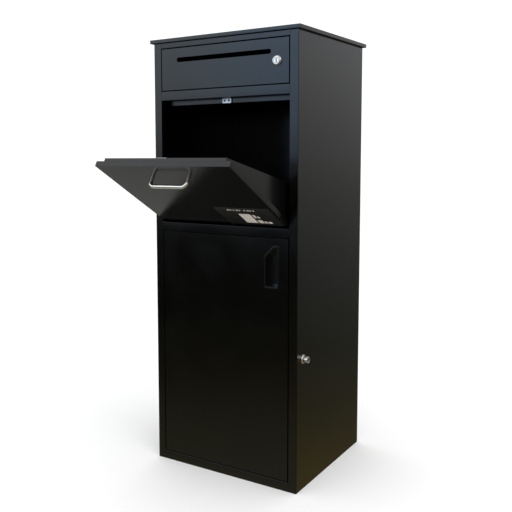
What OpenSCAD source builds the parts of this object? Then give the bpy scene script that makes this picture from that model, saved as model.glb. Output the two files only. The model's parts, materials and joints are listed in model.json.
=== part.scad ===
// Parcel drop box: a free-standing steel cabinet with a tilting parcel hopper, a lockable letter
// door above it and a lockable collection door below it.
// X runs across the front, +Y runs to the back and +Z runs up. The origin lies on the floor in the
// middle of the cabinet's footprint. The hopper is drawn open, resting on its stops.

/* [Cabinet] */
// Width of the cabinet
body_w = 400; // [320:5:480]
// Depth of the cabinet, front frame to back panel
body_d = 375; // [360:5:480]
// Height from the floor to the lower edge of the roof
body_h = 1068; // [960:4:1300]
// Thickness of the cabinet's sheet steel
sheet = 1.5; // [1:0.25:2]
// Thickness of the floor plate
base_t = 2; // [1.5:0.25:3]
// Height of the flange turned up around the floor plate
base_flange = 12; // [8:1:18]
// Distance the roof stands out past the walls on every side
roof_over = 7.5; // [5:0.5:20]
// Height of the roof's folded edge
roof_lip = 9; // [7:0.5:20]

/* [Front frame] */
// Width of the left and right posts of the front frame
stile_w = 21; // [18:1:32]
// Depth of the flanges folded in around each opening
frame_return = 15; // [12:1:18]
// Height of the rail below the collection door
bottom_rail_h = 22; // [16:1:40]
// Height of the rail between the collection door and the hopper
mid_rail_h = 21; // [16:1:30]
// Height of the rail between the hopper and the letter door
header_rail_h = 22; // [16:1:30]
// Height of the rail between the letter door and the roof
top_rail_h = 13; // [10:1:30]
// Height of the hopper's opening
hopper_open_h = 304; // [250:2:320]
// Height of the letter door's opening
mail_open_h = 106; // [90:2:140]
// Distance the angle that carries the catch stops short of the opening's sides
catch_plate_inset = 11; // [5:1:30]

/* [Doors] */
// Gap around each door and around the flap
door_gap = 2.5; // [2:0.25:4]
// Depth of the folded door pans
door_depth = 14; // [10:1:14]
// Distance from a door's hinge edge to its pivot
pivot_in = 10; // [8:1:14]
// Distance from the front face back to a door's pivot
pivot_back = 6; // [5.5:0.5:7]
// Diameter of every hinge pin
pin_d = 5; // [4:0.5:6]
// Radial clearance of a hinge pin in its hole
pin_fit = 0.06; // [0.03:0.01:0.1]
// Length of the letter slot
slot_w = 262; // [200:2:280]
// Height of the letter slot
slot_h = 11; // [8:1:30]
// Height of the slot's centre above the middle of the letter door
slot_up = 22; // [15:1:28]
// Width of the hand recess in the collection door
grip_w = 35; // [30:1:50]
// Height of the hand recess
grip_h = 96; // [80:1:130]
// Depth of the hand recess
grip_depth = 22; // [16:1:30]
// Distance from the door's free edge to the recess
grip_inset = 25.5; // [20:0.5:40]
// Distance from the door's top edge down to the recess
grip_drop = 20; // [15:1:60]
// Size of the recess's sloped upper corner
grip_slope = 24; // [10:1:28]
// Width of the raised rim around the recess
grip_rim = 2; // [1.5:0.5:4]
// Height of the raised rim
grip_rim_h = 0.8; // [0.4:0.2:1.4]
// Width of the stiffener behind the collection door
stiff_w = 50; // [30:2:90]

/* [Hopper] */
// Angle between the open flap and its closed, upright position
flap_tilt = 61; // [52:1:64]
// Depth of the flap's folded edges
flap_return = 12.5; // [11:0.5:14]
// Depth of the hopper's front, from the flap's face to the inner liner
liner_depth = 20; // [17:0.5:22]
// Distance from the flap's face back to its hinge line
hinge_back = 5; // [4.5:0.25:5.5]
// Distance from the flap's lower edge up to its hinge line
hinge_up = 5.5; // [5:0.25:7]
// Distance from the flap's left edge to the left cheek
left_cheek_inset = 22; // [16:1:30]
// Distance from the flap's right edge to the right cheek
right_cheek_inset = 12; // [10:0.5:24]
// Height of the hopper's floor above the hinge line
shelf_up = 14; // [13:0.5:16]
// Space between the hopper's floor and the back panel
shelf_back_gap = 26; // [20:1:60]
// Height of the lip at the back of the hopper's floor
shelf_lip = 10; // [6:1:14]
// Diameter of the pull handle's rod
handle_rod = 9; // [8:0.5:12]
// Distance between the centres of the handle's legs
handle_pitch = 96; // [96:32:160]
// Distance from the flap's face to the centre of the handle's rod
handle_out = 23; // [20:1:32]
// Distance from the flap's upper edge down to the handle
handle_drop = 50; // [30:2:90]
// Radius of the handle's bends
handle_bend = 11; // [8:1:14]
// Width of the label on the flap
label_w = 142; // [80:2:160]
// Height of the label
label_h = 92; // [40:2:110]
// Margin between the label and the flap's edges
label_margin = 9; // [2:0.5:12]

/* [Locks] */
// Diameter of a lock's collar
lock_collar_d = 22; // [22:0.5:26]
// Thickness of a lock's collar
lock_collar_t = 2.5; // [2:0.5:4]
// Diameter of the letter door lock's nose, where the key goes in
mail_nose_d = 19; // [16:0.5:20]
// Distance the letter door's lock stands out from the door
mail_lock_out = 6.5; // [5:0.5:18]
// Diameter of the collection lock's nose
side_nose_d = 16; // [15:0.5:20]
// Distance the collection lock stands out from the side panel
side_lock_out = 14; // [5:0.5:18]
// Diameter of a lock's threaded barrel
lock_barrel_d = 19; // [18:0.5:20]
// Diameter of the turning plug inside a lock
lock_plug_d = 12; // [10:0.5:13]
// Width across the flats of a lock's nut
lock_nut_af = 24; // [23:0.5:26]
// Thickness of a lock's cam
cam_t = 2.5; // [2:0.25:3]
// Width of a lock's cam
cam_w = 16; // [14:1:18]
// Reach of the letter door's cam past the edge of the opening
mail_cam_reach = 8; // [5:1:10]
// Distance from the letter door's free edge to its lock
mail_lock_inset = 29; // [26:1:40]
// Distance from the front face back to the collection lock
side_lock_back = 32; // [31:1:36]
// Height of the collection lock above the floor
side_lock_z = 316; // [240:2:340]

/* [Fixings] */
// Diameter of the anchor holes in the floor plate
anchor_d = 10; // [6:0.5:14]
// Distance between anchor holes across the width
anchor_x = 280; // [200:10:280]
// Distance between anchor holes across the depth
anchor_y = 250; // [200:10:260]
// Diameter of the wall holes in the back panel
wall_hole_d = 8; // [5:0.5:12]
// Distance between wall holes across the width
wall_hole_x = 280; // [200:10:280]
// Height of the lower pair of wall holes; the upper pair is behind the letter door
wall_hole_low = 202; // [150:2:240]

/* [Hidden] */

$fn = 48;

// Colours of the finishes
BLACK = [0.11, 0.12, 0.13];
DARK = [0.16, 0.17, 0.18];
STEEL = [0.72, 0.73, 0.75];
CHROME = [0.85, 0.86, 0.88];
RUBBER = [0.05, 0.05, 0.05];
PAPER = [0.24, 0.25, 0.27];

// Play between pieces that are fixed to each other
slip = 0.1;
// Air left between a moving piece and the stop it meets
touch = 0.3;
// Extra length of a cutting tool past the face it opens
over = 1;

// Planes of the cabinet
half_w = body_w / 2;
front = -body_d / 2;
back = body_d / 2;
wall_top = body_h + roof_lip - sheet;
open_half = half_w - stile_w;
inner_half = half_w - sheet;

// Heights of the openings
mail_top = body_h - top_rail_h;
mail_bottom = mail_top - mail_open_h;
hopper_top = mail_bottom - header_rail_h;
hopper_bottom = hopper_top - hopper_open_h;
lower_top = hopper_bottom - mid_rail_h;
lower_bottom = bottom_rail_h;

// Doors
leaf_half = open_half - door_gap;
pivot_x = -leaf_half + pivot_in;
pivot_y = front + pivot_back;
pin_head_r = pivot_back - sheet - slip;
pin_head_t = 2.5;
pin_end = 2.5;
mail_leaf = [mail_bottom + door_gap, mail_top - door_gap];
mail_mid = (mail_leaf[0] + mail_leaf[1]) / 2;
lower_leaf = [lower_bottom + door_gap, lower_top - door_gap];
grip_x = leaf_half - grip_inset - grip_w;
grip_z = lower_leaf[1] - grip_drop - grip_h;
stiff_end = 18;
stiff_back = 2;

// Hopper, in the frame of its hinge line with the flap upright
hinge = [0, front + hinge_back, hopper_bottom + door_gap + hinge_up];
skin_face = -hinge_back;
skin_back = skin_face + sheet;
skin_low = -hinge_up;
skin_high = skin_low + hopper_open_h - 2 * door_gap;
liner_back = skin_face + liner_depth;
shelf_end = back - sheet - shelf_back_gap - hinge[1];
cheek_left_x = -leaf_half + left_cheek_inset;
cheek_right_x = leaf_half - right_cheek_inset;
hopper_span = [cheek_left_x + sheet, cheek_right_x - sheet];
stud_r = 4;
stud_len = 14;
stud_in = 15;
stud_up = 4;
stud_y = shelf_end - stud_in;
stud_z = shelf_up + stud_up;
stop_pad_t = 3;
stop_bracket_t = 2;
stop_bracket_h = 22;
stop_bracket_len = 30;
stop_bracket_gap = 2;
hinge_head_r = min(hinge_back, hinge_up) - sheet - slip;
handle_z = skin_high - handle_drop;
handle_screw_d = 4;
handle_screw_short = 2;
screw_head_d = 8;
screw_head_t = 3;
label_t = 0.4;
strike_h = 12;
strike_drop = 1;
strike_side = 2;

// Catch
catch_w = 24;
catch_h = 12;
catch_t = 12;
catch_lug = 9;
catch_lug_t = 3;
catch_lip_gap = 4;
magnet_r = 2.8;
magnet_x = 6;
magnet_sink = 0.6;
strike_t = 1;
catch_face = front + liner_depth + strike_t + touch;
catch_lip_y = catch_face + catch_lip_gap;

// Locks
cam_gap = 0.5;
plug_sink = 0.3;
mail_lock_x = leaf_half - mail_lock_inset;
mail_cam_gap = 2;
mail_barrel = frame_return + mail_cam_gap - cam_gap;
mail_cam_len = mail_lock_inset + door_gap + mail_cam_reach;
side_cam_inset = stile_w + 7;
side_barrel = side_cam_inset - cam_gap;
side_lock_y = front + side_lock_back;
side_cam_gap = 1;
side_cam_len = side_lock_back - door_depth - side_cam_gap;
lock_nut_t = 5;
tang_w = 7;
key_slot_w = 2.6;
key_slot_h = 8;
key_slot_t = 5;
cam_screw_d = 10;
cam_screw_t = 3.5;
keeper_clear = 1.5;
keeper_h = 16;
keeper_z = side_lock_z + lock_barrel_d / 2 + keeper_clear;
keeper_gap = 1;
keeper_flange = 15;

// Stops behind the doors' free edges
stop_w = 20;
stop_h = 24;
pad_r = 3;
stop_from_end = 60;
mail_stop_up = 34;
upper_stop_z = lower_top - stop_from_end;
lower_stop_z = lower_bottom + stop_from_end;
mail_stop_z = mail_mid + mail_stop_up;

// Box between pairs of planes
module slab(x, y, z) {
    translate([x[0], y[0], z[0]]) cube([x[1] - x[0], y[1] - y[0], z[1] - z[0]]);
}

// Folded sheet pan with its face at y = 0, open to the back
module pan(x, z, depth, t) {
    difference() {
        slab(x, [0, depth], z);
        slab([x[0] + t, x[1] - t], [t, depth + over], [z[0] + t, z[1] - t]);
    }
}

// Upright hole for a door's hinge pin
module door_pivot_hole(z) {
    translate([pivot_x, pivot_y, z - over]) cylinder(d = pin_d + 2 * pin_fit, h = sheet + 2 * over);
}

// Pieces drawn upright in the hopper's frame are turned to the open position
module hopper_open() {
    translate(hinge) rotate([flap_tilt, 0, 0]) children();
}

// Place of a point of the upright hopper once it is open
function opened(y, z) = [
    y * cos(flap_tilt) - z * sin(flap_tilt),
    y * sin(flap_tilt) + z * cos(flap_tilt)
];

// Cabinet walls

module left_side_panel() {
    color(BLACK) slab([-half_w, -inner_half], [front + sheet, back], [0, wall_top]);
}

module right_side_panel() {
    color(BLACK) difference() {
        slab([inner_half, half_w], [front + sheet, back], [0, wall_top]);
        translate([inner_half - over, side_lock_y, side_lock_z])
            rotate([0, 90, 0]) cylinder(d = lock_barrel_d + 2 * slip, h = sheet + 2 * over);
    }
}

module back_panel() {
    color(BLACK) difference() {
        slab([-inner_half, inner_half], [back - sheet, back], [0, wall_top]);
        for (x = [-wall_hole_x / 2, wall_hole_x / 2], z = [wall_hole_low, mail_mid])
            translate([x, back + over, z]) rotate([90, 0, 0]) cylinder(d = wall_hole_d, h = sheet + 2 * over);
    }
}

module base_pan() {
    x = [-inner_half, inner_half];
    y = [front + sheet, back - sheet];
    color(BLACK) difference() {
        union() {
            slab(x, y, [0, base_t]);
            slab([x[0], x[0] + sheet], [front + frame_return + sheet, y[1]], [0, base_flange]);
            slab([x[1] - sheet, x[1]], [front + frame_return + sheet, y[1]], [0, base_flange]);
            slab(x, [y[1] - sheet, y[1]], [0, base_flange]);
        }
        for (x = [-anchor_x / 2, anchor_x / 2], y = [-anchor_y / 2, anchor_y / 2])
            translate([x, y, -over]) cylinder(d = anchor_d, h = base_t + 2 * over);
    }
}

module roof_panel() {
    x = half_w + roof_over;
    y = body_d / 2 + roof_over;
    z = [body_h, body_h + roof_lip];
    hem = roof_over - 1;
    color(DARK) difference() {
        slab([-x, x], [-y, y], z);
        slab([-x + sheet, x - sheet], [-y + sheet, y - sheet], [z[0] + sheet, z[1] - sheet]);
        slab([-x + hem, x - hem], [-y + hem, y - hem], [z[0] - over, z[0] + sheet + over]);
    }
}

// Front frame

// Right-hand post: its face, the flange beside the openings and the flange on the wall
module stile() {
    color(BLACK) difference() {
        union() {
            slab([open_half, half_w], [front, front + sheet], [0, wall_top]);
            slab([open_half, open_half + sheet], [front, front + frame_return], [base_t, wall_top]);
            slab([inner_half - sheet, inner_half], [front, front + frame_return], [base_t, wall_top]);
        }
        translate([open_half - over, hinge[1], hinge[2]])
            rotate([0, 90, 0]) cylinder(d = pin_d + 2 * pin_fit, h = sheet + 2 * over);
    }
}

module left_stile() {
    mirror([1, 0, 0]) stile();
}

module right_stile() {
    stile();
}

// Rail between the posts, with a flange folded in along its lower or upper edge
module rail(z, low_flange, high_flange) {
    x = [-open_half, open_half];
    slab(x, [front, front + sheet], z);
    if (low_flange) slab(x, [front, front + frame_return], [z[0], z[0] + sheet]);
    if (high_flange) slab(x, [front, front + frame_return], [z[1] - sheet, z[1]]);
}

module top_rail() {
    color(BLACK) difference() {
        rail([mail_top, wall_top], true, false);
        door_pivot_hole(mail_top);
    }
}

module header_rail() {
    color(BLACK) difference() {
        rail([hopper_top, mail_bottom], true, true);
        door_pivot_hole(mail_bottom - sheet);
    }
}

module mid_rail() {
    color(BLACK) difference() {
        rail([lower_top, hopper_bottom], true, true);
        door_pivot_hole(lower_top);
    }
}

module bottom_rail() {
    color(BLACK) difference() {
        rail([0, bottom_rail_h], false, true);
        door_pivot_hole(bottom_rail_h - sheet);
    }
}

// Cabinet inside

module mail_shelf() {
    color(BLACK) slab([-inner_half, inner_half], [front + frame_return, back - sheet],
        [mail_bottom - sheet, mail_bottom]);
}

// Angle that lies on the header's lower flange and hangs down behind it, notched for the catch
module catch_plate() {
    x = [-open_half + catch_plate_inset, open_half - catch_plate_inset];
    notch = catch_w / 2 + slip;
    color(DARK) difference() {
        union() {
            slab(x, [front + sheet, catch_lip_y], [hopper_top + sheet, hopper_top + 2 * sheet]);
            slab(x, [catch_lip_y, catch_lip_y + sheet], [hopper_top - catch_h, hopper_top + 2 * sheet]);
        }
        slab([-notch, notch], [catch_lip_y - over, catch_lip_y + sheet + over],
            [hopper_top - catch_h - over, hopper_top + slip]);
    }
}

module catch_body() {
    color(STEEL) difference() {
        union() {
            slab([-catch_w / 2, catch_w / 2], [catch_face, catch_face + catch_t],
                [hopper_top - catch_h, hopper_top]);
            slab([-catch_w / 2 - catch_lug, catch_w / 2 + catch_lug],
                [catch_lip_y + sheet, catch_lip_y + sheet + catch_lug_t], [hopper_top - catch_h, hopper_top]);
        }
        for (x = [-magnet_x, magnet_x])
            translate([x, catch_face - over, hopper_top - catch_h / 2])
                rotate([-90, 0, 0]) cylinder(r = magnet_r + slip, h = catch_t / 2 + over);
    }
}

module catch_magnets() {
    color(DARK) for (x = [-magnet_x, magnet_x])
        translate([x, catch_face + magnet_sink, hopper_top - catch_h / 2])
            rotate([-90, 0, 0]) cylinder(r = magnet_r, h = catch_t / 2 - magnet_sink);
}

// Angle on the side wall that the open hopper's stud comes up against
module stop_bracket(cheek_x) {
    y = [hinge[1] + stud_y - stop_bracket_len / 2, hinge[1] + stud_y + stop_bracket_len / 2];
    z = hinge[2] + stud_z + stud_r + touch + stop_pad_t;
    slab([cheek_x + stop_bracket_gap, inner_half], y, [z, z + stop_bracket_t]);
    slab([inner_half - stop_bracket_t, inner_half], y, [z, z + stop_bracket_h]);
}

module stop_pad(cheek_x) {
    y = [hinge[1] + stud_y - stud_r, hinge[1] + stud_y + stud_r];
    z = hinge[2] + stud_z + stud_r + touch;
    slab([cheek_x + stop_bracket_gap, cheek_x + stud_len], y, [z, z + stop_pad_t]);
}

module left_stop_bracket() {
    color(DARK) mirror([1, 0, 0]) stop_bracket(-cheek_left_x);
}

module right_stop_bracket() {
    color(DARK) stop_bracket(cheek_right_x);
}

module left_stop_pad() {
    color(RUBBER) mirror([1, 0, 0]) stop_pad(-cheek_left_x);
}

module right_stop_pad() {
    color(RUBBER) stop_pad(cheek_right_x);
}

// Plate behind the right-hand post that stops a door's free edge
module door_stop(z) {
    color(BLACK) slab([leaf_half - stop_w / 3, leaf_half + 2 * stop_w / 3],
        [front + frame_return, front + frame_return + sheet], [z - stop_h / 2, z + stop_h / 2]);
}

module door_pad(z) {
    y = front + door_depth + touch;
    color(RUBBER) translate([leaf_half - sheet / 2, y, z])
        rotate([-90, 0, 0]) cylinder(r = pad_r, h = front + frame_return - y);
}

module upper_door_stop() {
    door_stop(upper_stop_z);
}

module lower_door_stop() {
    door_stop(lower_stop_z);
}

module mail_door_stop() {
    door_stop(mail_stop_z);
}

module upper_door_pad() {
    door_pad(upper_stop_z);
}

module lower_door_pad() {
    door_pad(lower_stop_z);
}

module mail_door_pad() {
    door_pad(mail_stop_z);
}

// Cam locks, each drawn along +Z with the panel's outer face at z = 0

module lock_body(barrel_len, nose_d, out) {
    color(CHROME) difference() {
        union() {
            cylinder(d = lock_collar_d, h = lock_collar_t);
            cylinder(d = nose_d, h = out);
            translate([0, 0, -barrel_len]) cylinder(d = lock_barrel_d, h = barrel_len);
        }
        translate([0, 0, -barrel_len - over])
            cylinder(d = lock_plug_d + 2 * pin_fit, h = barrel_len + out + 2 * over);
    }
}

module lock_nut() {
    color(STEEL) translate([0, 0, -sheet - lock_nut_t]) difference() {
        cylinder(d = lock_nut_af / cos(30), h = lock_nut_t, $fn = 6);
        translate([0, 0, -over]) cylinder(d = lock_barrel_d + 2 * slip, h = lock_nut_t + 2 * over);
    }
}

module lock_plug(barrel_len, out) {
    tail = cam_gap + cam_t;
    color(CHROME) difference() {
        union() {
            translate([0, 0, -barrel_len - cam_gap])
                cylinder(d = lock_plug_d, h = barrel_len + cam_gap + out - plug_sink);
            slab([-tang_w / 2, tang_w / 2], [-tang_w / 2, tang_w / 2], [-barrel_len - tail, -barrel_len]);
        }
        slab([-key_slot_w / 2, key_slot_w / 2], [-key_slot_h / 2, key_slot_h / 2],
            [out - plug_sink - key_slot_t, out + over]);
    }
}

// Cam behind the barrel, pointing along +Y
module lock_cam(barrel_len, cam_len) {
    color(STEEL) translate([0, 0, -barrel_len - cam_gap - cam_t]) difference() {
        union() {
            cylinder(d = cam_w, h = cam_t);
            slab([-cam_w / 2, cam_w / 2], [0, cam_len], [0, cam_t]);
        }
        slab([-tang_w / 2 - slip, tang_w / 2 + slip], [-tang_w / 2 - slip, tang_w / 2 + slip],
            [-over, cam_t + over]);
    }
}

module lock_screw(barrel_len) {
    color(STEEL) translate([0, 0, -barrel_len - cam_gap - cam_t - cam_screw_t])
        cylinder(d = cam_screw_d, h = cam_screw_t);
}

// Turns a lock to face the front, on the letter door
module at_mail_lock() {
    translate([mail_lock_x, front, mail_mid]) rotate([90, 0, 0]) children();
}

// Turns a lock to face the right, on the side panel
module at_side_lock() {
    translate([half_w, side_lock_y, side_lock_z]) rotate([0, 90, 0]) children();
}

module side_lock_body() {
    at_side_lock() lock_body(side_barrel, side_nose_d, side_lock_out);
}

module side_lock_nut() {
    at_side_lock() lock_nut();
}

module side_lock_plug() {
    at_side_lock() rotate([0, 0, 90]) lock_plug(side_barrel, side_lock_out);
}

// Points to the front when unlocked, and turns up in front of the keeper to lock
module side_lock_cam() {
    at_side_lock() rotate([0, 0, 180]) lock_cam(side_barrel, side_cam_len);
}

module side_lock_screw() {
    at_side_lock() lock_screw(side_barrel);
}

module mail_lock_body() {
    at_mail_lock() lock_body(mail_barrel, mail_nose_d, mail_lock_out);
}

module mail_lock_nut() {
    at_mail_lock() lock_nut();
}

module mail_lock_plug() {
    at_mail_lock() lock_plug(mail_barrel, mail_lock_out);
}

module mail_lock_cam() {
    at_mail_lock() rotate([0, 0, 180]) lock_cam(mail_barrel, mail_cam_len);
}

module mail_lock_screw() {
    at_mail_lock() lock_screw(mail_barrel);
}

// Letter door

module mail_door_panel() {
    color(BLACK) difference() {
        translate([0, front, 0]) pan([-leaf_half, leaf_half], mail_leaf, door_depth, sheet);
        translate([0, front, mail_mid + slot_up]) letter_slot_cut();
        translate([mail_lock_x, front - over, mail_mid])
            rotate([-90, 0, 0]) cylinder(d = lock_barrel_d + 2 * slip, h = sheet + 2 * over);
        door_pivot_hole(mail_leaf[0]);
        door_pivot_hole(mail_leaf[1] - sheet);
    }
}

// Slot with round ends
module letter_slot_cut() {
    straight = (slot_w - slot_h) / 2;
    slab([-straight, straight], [-over, sheet + over], [-slot_h / 2, slot_h / 2]);
    for (x = [-straight, straight])
        translate([x, -over, 0]) rotate([-90, 0, 0]) cylinder(d = slot_h, h = sheet + 2 * over);
}

// Hinge pin that stands up out of a door's edge at height z, with its head inside the door
module door_pin(z, up) {
    color(STEEL) translate([pivot_x, pivot_y, z]) mirror([0, 0, up ? 0 : 1]) {
        translate([0, 0, -sheet - pin_head_t]) cylinder(r = pin_head_r, h = pin_head_t);
        translate([0, 0, -sheet]) cylinder(d = pin_d, h = 2 * sheet + door_gap + pin_end);
    }
}

module mail_door_top_pin() {
    door_pin(mail_leaf[1], true);
}

module mail_door_bottom_pin() {
    door_pin(mail_leaf[0], false);
}

// Collection door

module lower_door_panel() {
    color(BLACK) difference() {
        translate([0, front, 0]) pan([-leaf_half, leaf_half], lower_leaf, door_depth, sheet);
        translate([grip_x, front - over, grip_z]) grip_block(sheet + 2 * over, 0);
        door_pivot_hole(lower_leaf[0]);
        door_pivot_hole(lower_leaf[1] - sheet);
    }
}

// Outline of the hand recess, grown by a margin and made a block of the given depth along +Y
module grip_block(depth, grow) {
    w = grip_w + grow;
    h = grip_h + grow;
    s = grip_slope + grow * (sqrt(2) - 1);
    translate([0, depth, 0]) rotate([90, 0, 0]) linear_extrude(depth)
        polygon([[-grow, -grow], [w, -grow], [w, h], [s - grow, h], [-grow, h - s]]);
}

module grip_cup() {
    color(DARK) translate([grip_x, front, grip_z]) difference() {
        union() {
            grip_block(grip_depth, 0);
            translate([0, -grip_rim_h, 0]) grip_block(grip_rim_h, grip_rim);
        }
        translate([sheet, -grip_rim_h - over, sheet])
            grip_opening(grip_depth + grip_rim_h + over - sheet);
    }
}

// Hollow of the hand recess, one wall thickness inside its outline
module grip_opening(depth) {
    w = grip_w - 2 * sheet;
    h = grip_h - 2 * sheet;
    s = grip_slope - sheet * (2 - sqrt(2));
    translate([0, depth, 0]) rotate([90, 0, 0]) linear_extrude(depth)
        polygon([[0, 0], [w, 0], [w, h], [s, h], [0, h - s]]);
}

module lower_door_stiffener() {
    z = [lower_leaf[0] + stiff_end, lower_leaf[1] - stiff_end];
    y = [front + sheet, front + door_depth - stiff_back];
    color(BLACK) difference() {
        slab([-stiff_w / 2, stiff_w / 2], y, z);
        slab([-stiff_w / 2 + sheet, stiff_w / 2 - sheet], [y[0] - over, y[1] - sheet], [z[0] - over, z[1] + over]);
    }
}

module lower_door_top_pin() {
    door_pin(lower_leaf[1], true);
}

module lower_door_bottom_pin() {
    door_pin(lower_leaf[0], false);
}

// Angle on the collection door's free edge, which the side lock's cam holds back
module lock_keeper() {
    x = leaf_half - sheet;
    y = side_lock_y + cam_w / 2 + keeper_gap;
    z = [keeper_z, keeper_z + keeper_h];
    color(STEEL) union() {
        slab([x - sheet, x], [front + 2 * sheet, y + sheet], z);
        slab([x - keeper_flange, x], [y, y + sheet], z);
    }
}

// Hopper

module flap_skin() {
    hole_x = leaf_half - sheet - over;
    color(BLACK) hopper_open() difference() {
        translate([0, skin_face, 0]) pan([-leaf_half, leaf_half], [skin_low, skin_high], flap_return, sheet);
        for (side = [0, 1])
            mirror([side, 0, 0]) translate([hole_x, 0, 0])
                rotate([0, 90, 0]) cylinder(d = pin_d + 2 * pin_fit, h = sheet + 2 * over);
        for (x = [-handle_pitch / 2, handle_pitch / 2])
            translate([x, skin_face - over, handle_z])
                rotate([-90, 0, 0]) cylinder(d = handle_screw_d + 2 * slip, h = sheet + 2 * over);
    }
}

// Inner face of the flap, with a flange along its top that meets the flap's own edge
module hopper_liner() {
    color(DARK) hopper_open() union() {
        slab(hopper_span, [liner_back - sheet, liner_back], [skin_low + sheet, skin_high]);
        slab(hopper_span, [skin_face + flap_return, liner_back], [skin_high - sheet, skin_high]);
    }
}

module hopper_shelf() {
    color(DARK) difference() {
        translate(hinge) union() {
            slab(hopper_span, [0, shelf_end], [shelf_up - sheet, shelf_up]);
            slab(hopper_span, [shelf_end - sheet, shelf_end], [shelf_up - sheet, shelf_up + shelf_lip]);
        }
        hopper_open() slab([-half_w, half_w], [-half_w, liner_back], [skin_low - half_w, skin_high]);
    }
}

// Cheek plate between the flap and the shelf, drawn in the open position
module cheek(x) {
    top = shelf_up + shelf_lip;
    outline = [
        opened(skin_back, skin_low + sheet),
        opened(liner_back, (shelf_up - sheet - liner_back * sin(flap_tilt)) / cos(flap_tilt)),
        [shelf_end, shelf_up - sheet],
        [shelf_end, top],
        opened(liner_back, skin_high),
        opened(skin_face + flap_return, skin_high),
        opened(skin_face + flap_return, skin_high - sheet),
        opened(skin_back, skin_high - sheet)
    ];
    color(DARK) translate([x, hinge[1], hinge[2]])
        rotate([90, 0, 90]) linear_extrude(sheet) polygon(outline);
}

module left_cheek() {
    cheek(cheek_left_x);
}

module right_cheek() {
    cheek(cheek_right_x - sheet);
}

// Hinge pin on the right, with its head inside the flap's folded edge
module hinge_pin() {
    color(STEEL) hopper_open() rotate([0, 90, 0]) {
        translate([0, 0, leaf_half - sheet - pin_head_t]) cylinder(r = hinge_head_r, h = pin_head_t);
        translate([0, 0, leaf_half - sheet]) cylinder(d = pin_d, h = 2 * sheet + door_gap + pin_end);
    }
}

module left_hinge_pin() {
    mirror([1, 0, 0]) hinge_pin();
}

module right_hinge_pin() {
    hinge_pin();
}

// Bent rod: two legs, two quarter bends and a bar
module pull_handle() {
    leg = handle_out - handle_bend;
    bar = handle_pitch / 2 - handle_bend;
    color(CHROME) hopper_open() translate([0, skin_face, handle_z]) difference() {
        union() {
            for (side = [0, 1]) mirror([side, 0, 0]) {
                translate([handle_pitch / 2, 0, 0]) rotate([90, 0, 0]) cylinder(d = handle_rod, h = leg);
                translate([bar, -leg, 0]) rotate([0, 0, -90]) rotate_extrude(angle = 90)
                    translate([handle_bend, 0]) circle(d = handle_rod);
            }
            translate([-bar, -handle_out, 0]) rotate([0, 90, 0]) cylinder(d = handle_rod, h = 2 * bar);
        }
        for (x = [-handle_pitch / 2, handle_pitch / 2])
            translate([x, over, 0]) rotate([90, 0, 0])
                cylinder(d = handle_screw_d + 2 * slip, h = leg - handle_screw_short + over);
    }
}

module handle_screws() {
    leg = handle_out - handle_bend;
    color(STEEL) hopper_open() for (x = [-handle_pitch / 2, handle_pitch / 2])
        translate([x, skin_back, handle_z]) rotate([90, 0, 0]) {
            cylinder(d = handle_screw_d, h = leg - handle_screw_short);
            translate([0, 0, -screw_head_t]) cylinder(d = screw_head_d, h = screw_head_t);
        }
}

module info_label() {
    x = leaf_half - label_margin;
    z = skin_low + label_margin;
    color(PAPER) hopper_open() slab([x - label_w, x], [skin_face - label_t, skin_face], [z, z + label_h]);
}

module catch_strike() {
    z = skin_high - strike_drop - strike_h;
    color(STEEL) hopper_open()
        slab([-catch_w / 2 - strike_side, catch_w / 2 + strike_side], [liner_back, liner_back + strike_t],
            [z, z + strike_h]);
}

// Stud on the outside of a cheek that meets the stop bracket
module stop_stud(cheek_x) {
    color(STEEL) translate([cheek_x, hinge[1] + stud_y, hinge[2] + stud_z])
        rotate([0, 90, 0]) cylinder(r = stud_r, h = stud_len);
}

module left_stop_stud() {
    mirror([1, 0, 0]) stop_stud(-cheek_left_x);
}

module right_stop_stud() {
    stop_stud(cheek_right_x);
}

// Each node is drawn on its own or with all the others
left_side_panel();
right_side_panel();
left_stile();
right_stile();
top_rail();
header_rail();
mid_rail();
bottom_rail();
back_panel();
base_pan();
roof_panel();
mail_shelf();
catch_plate();
catch_body();
catch_magnets();
left_stop_bracket();
right_stop_bracket();
left_stop_pad();
right_stop_pad();
upper_door_stop();
lower_door_stop();
mail_door_stop();
upper_door_pad();
lower_door_pad();
mail_door_pad();
side_lock_body();
side_lock_nut();
flap_skin();
hopper_liner();
hopper_shelf();
left_cheek();
right_cheek();
left_hinge_pin();
right_hinge_pin();
pull_handle();
handle_screws();
info_label();
catch_strike();
left_stop_stud();
right_stop_stud();
mail_door_panel();
mail_door_top_pin();
mail_door_bottom_pin();
mail_lock_body();
mail_lock_nut();
mail_lock_plug();
mail_lock_cam();
mail_lock_screw();
lower_door_panel();
grip_cup();
lower_door_stiffener();
lower_door_top_pin();
lower_door_bottom_pin();
lock_keeper();
side_lock_plug();
side_lock_cam();
side_lock_screw();
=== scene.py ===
"""Finishes, fittings and stage for a steel parcel drop box, laid out as an add-on and run as a script."""

import json
import math

import bmesh
import bpy
from bpy.props import BoolProperty, FloatProperty, FloatVectorProperty, IntProperty, PointerProperty
from mathutils import Matrix, Vector


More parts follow.
